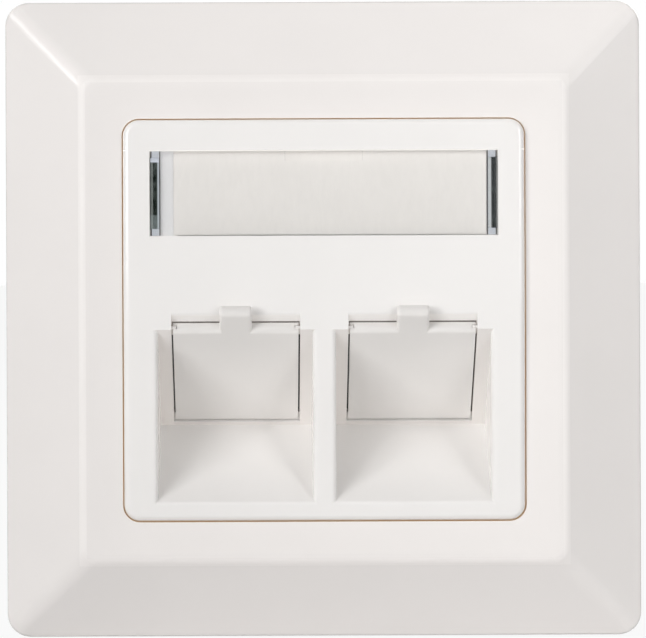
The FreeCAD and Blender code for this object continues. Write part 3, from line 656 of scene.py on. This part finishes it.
def make_floor():
    """A white floor just under the frame that runs far behind it."""
    mesh = bpy.data.meshes.new("studio_floor")
    shape = bmesh.new()
    bmesh.ops.create_grid(shape, x_segments=1, y_segments=1, size=FLOOR_HALF_WIDTH)
    bmesh.ops.translate(shape, verts=shape.verts, vec=(0, 0, CAD_BOX[0][2] - FLOOR_GAP))
    shape.to_mesh(mesh)
    shape.free()
    floor = bpy.data.objects.new("studio_floor", mesh)
    bpy.context.scene.collection.objects.link(floor)
    material = bpy.data.materials.new("studio_floor_white")
    paint = Backdrop(material)
    matt = paint.add("ShaderNodeBsdfDiffuse", {"Color": colour([FLOOR_GREY] * 3)})
    glow = paint.add("ShaderNodeEmission", {"Strength": 1.0})
    share = paint.add(
        "ShaderNodeMath", {0: paint.seen(), 1: FLOOR_GLOW}, (("operation", "MULTIPLY"),))
    mixed = paint.add("ShaderNodeMixShader", {0: share, 1: matt, 2: glow})
    paint.finish("ShaderNodeOutputMaterial", mixed)
    mesh.materials.append(material)


LAMPS = (
    # name, place, the point it is aimed at, size across and up, spread in degrees, watts
    ("left_softbox", (-0.75, -0.95, 0.3), (0.36, 0, 0.12), (0.75, 0.6), 50, 0.81),
    ("left_low_strip", (-0.8, -0.9, 0.1), (0.36, 0, 0.12), (0.6, 0.25), 50, 0.35),
    ("upper_left_softbox", (-0.45, -1.05, 0.55), (0.33, 0, 0.1), (0.6, 0.5), 50, 0.5),
    ("right_softbox", (0.78, -0.95, 0.25), (0.3, 0, 0.15), (0.6, 0.5), 50, 0.76),
    ("right_fill", (0.95, -0.45, 0.3), (0.3, 0, 0.1), (0.5, 0.5), 60, 0.12),
    ("rear_softbox", (0.5, 1.1, 0.5), (0, 0, 0), (0.6, 0.6), 60, 1.1),
)


def make_lamps():
    """Large soft lamps, most of them aimed past the right of the frame to fade across it."""
    for name, place, aim, size, spread, watts in LAMPS:
        lamp = bpy.data.lights.new(name, "AREA")
        lamp.shape = "RECTANGLE"
        lamp.size, lamp.size_y = size
        lamp.spread = math.radians(spread)
        lamp.energy = watts
        holder = bpy.data.objects.new(name, lamp)
        bpy.context.scene.collection.objects.link(holder)
        holder.location = place
        turn = (Vector(place) - Vector(aim)).to_track_quat("Z", "Y")
        holder.rotation_euler = turn.to_euler()


def make_camera(studio):
    """Square to the wall, with the frame centred by shift alone."""
    camera = bpy.data.cameras.new("camera")
    holder = bpy.data.objects.new("camera", camera)
    bpy.context.scene.collection.objects.link(holder)
    holder.location = (studio.aside, -studio.distance, studio.above)
    holder.rotation_euler = (math.radians(90), studio.roll, 0)
    width = FRAME_HIGH.x - FRAME_LOW.x
    reach = studio.distance - OUTER_EDGE
    camera.sensor_width = SENSOR_WIDTH
    camera.sensor_fit = "HORIZONTAL"
    camera.lens = SENSOR_WIDTH * studio.fill * reach / width
    view_width = width / studio.fill
    camera.shift_x = -studio.aside / view_width
    camera.shift_y = -studio.above / view_width
    camera.clip_start = 0.01
    bpy.context.scene.camera = holder


class FACEPLATE_PT_panel(bpy.types.Panel):
    bl_idname = "FACEPLATE_PT_panel"
    bl_label = "Faceplate"
    bl_space_type = "VIEW_3D"
    bl_region_type = "UI"
    bl_category = "Faceplate"

    def draw(self, context):
        scene = context.scene
        for group in (scene.faceplate_plastic, scene.faceplate_card, scene.faceplate_metal,
                      scene.faceplate_studio):
            box = self.layout.box()
            for name in group.__annotations__:
                box.prop(group, name)
        for operator in OPERATORS:
            self.layout.operator(operator.bl_idname)


OPERATORS = (FACEPLATE_OT_mouldings, FACEPLATE_OT_label, FACEPLATE_OT_carrier, FACEPLATE_OT_studio)
GROUPS = {
    "faceplate_plastic": PlasticSettings,
    "faceplate_card": CardSettings,
    "faceplate_metal": MetalSettings,
    "faceplate_studio": StudioSettings,
}


def register():
    for group in GROUPS.values():
        bpy.utils.register_class(group)
    for name, group in GROUPS.items():
        setattr(bpy.types.Scene, name, bpy.props.PointerProperty(type=group))
    for operator in OPERATORS:
        bpy.utils.register_class(operator)
    bpy.utils.register_class(FACEPLATE_PT_panel)


def unregister():
    bpy.utils.unregister_class(FACEPLATE_PT_panel)
    for operator in reversed(OPERATORS):
        bpy.utils.unregister_class(operator)
    for name, group in GROUPS.items():
        delattr(bpy.types.Scene, name)
        bpy.utils.unregister_class(group)


def main():
    register()
    bpy.context.scene.view_settings.view_transform = "Standard"
    bpy.ops.faceplate.studio()
    bpy.ops.faceplate.mouldings()
    bpy.ops.faceplate.label()
    bpy.ops.faceplate.carrier()


if __name__ == "__main__":
    main()
